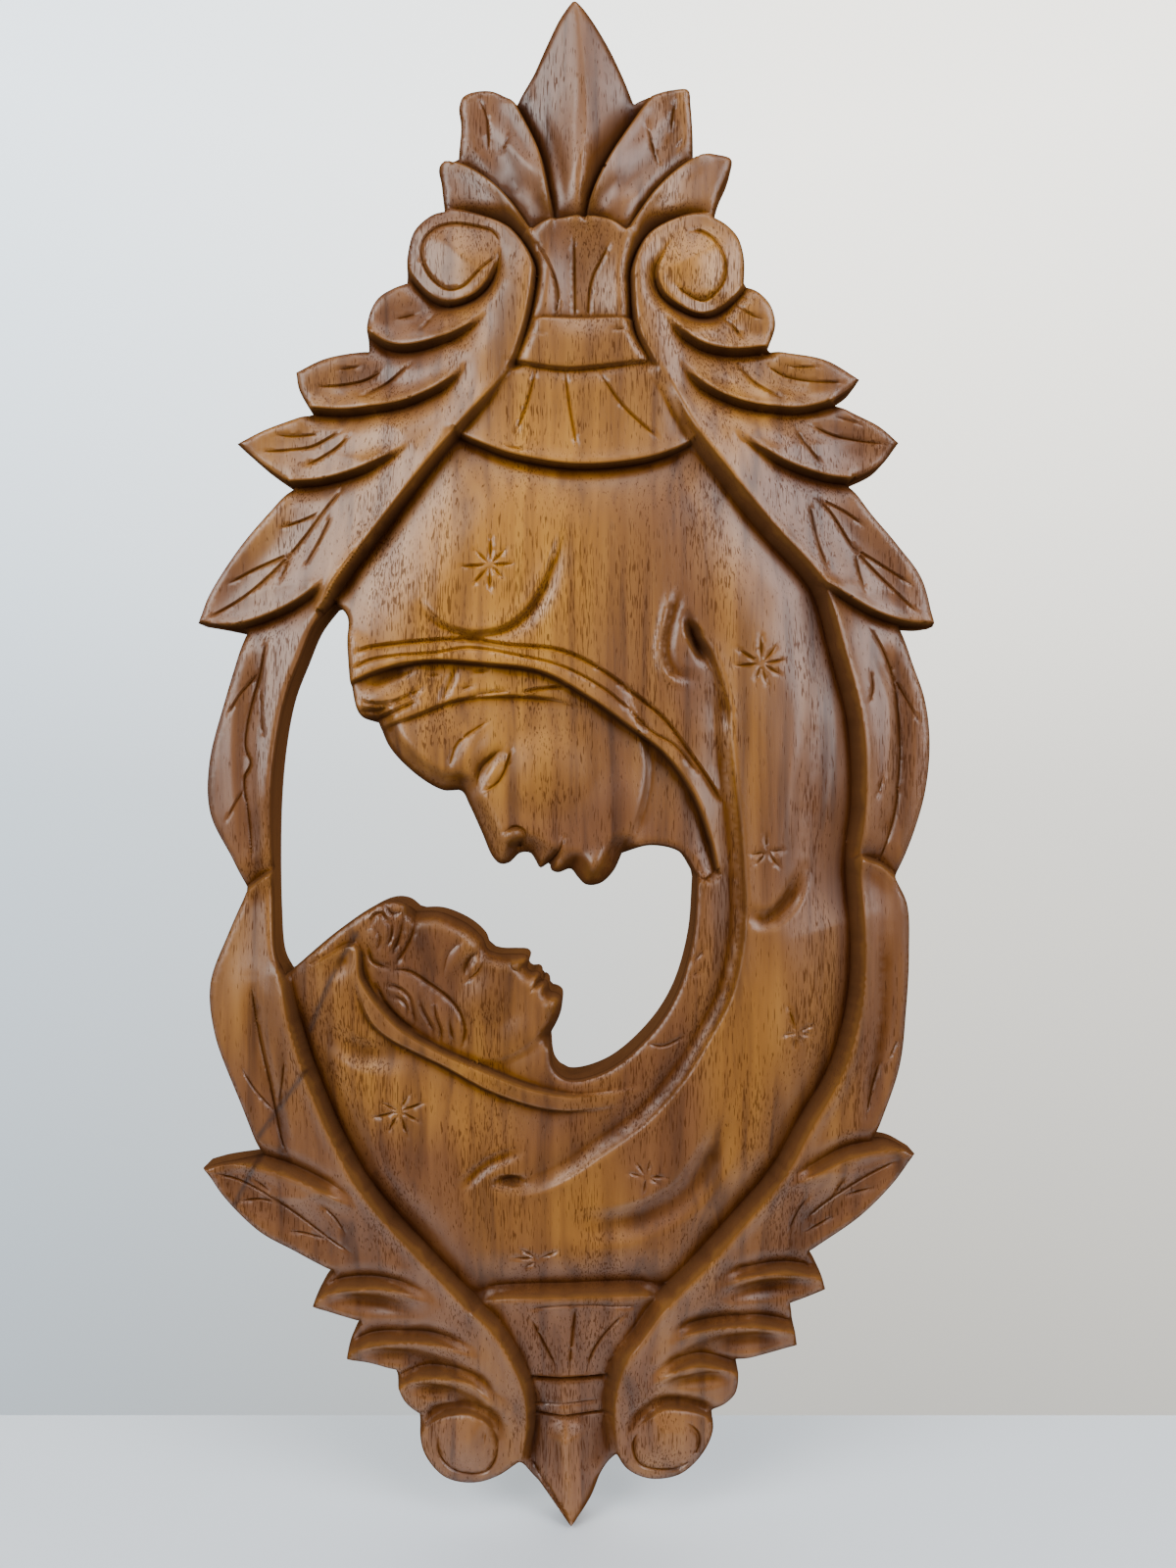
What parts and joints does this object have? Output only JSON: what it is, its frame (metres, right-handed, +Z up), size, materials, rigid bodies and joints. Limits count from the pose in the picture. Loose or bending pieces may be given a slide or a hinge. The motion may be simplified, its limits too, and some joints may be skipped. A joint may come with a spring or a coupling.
{
  "type": "carved wall panel",
  "caption": "Pierced wooden wall panel carved with a veiled mother bent over a wrapped child in an oval frame of leaves and scrolls.",
  "frame": {"origin": "where a hanger plate is fixed, on the flat back behind the bell under the crown", "axes": "+Z up along the panel's height, -Y out of the carved face, +X to the right as the face is seen"},
  "size_m": [0.3014, 0.0255, 0.6188],
  "materials": {
    "wood": "satin lacquer over brown stain"
  },
  "bodies": {
    "root": {"carved_panel": "wood"}
  },
  "joints": []
}
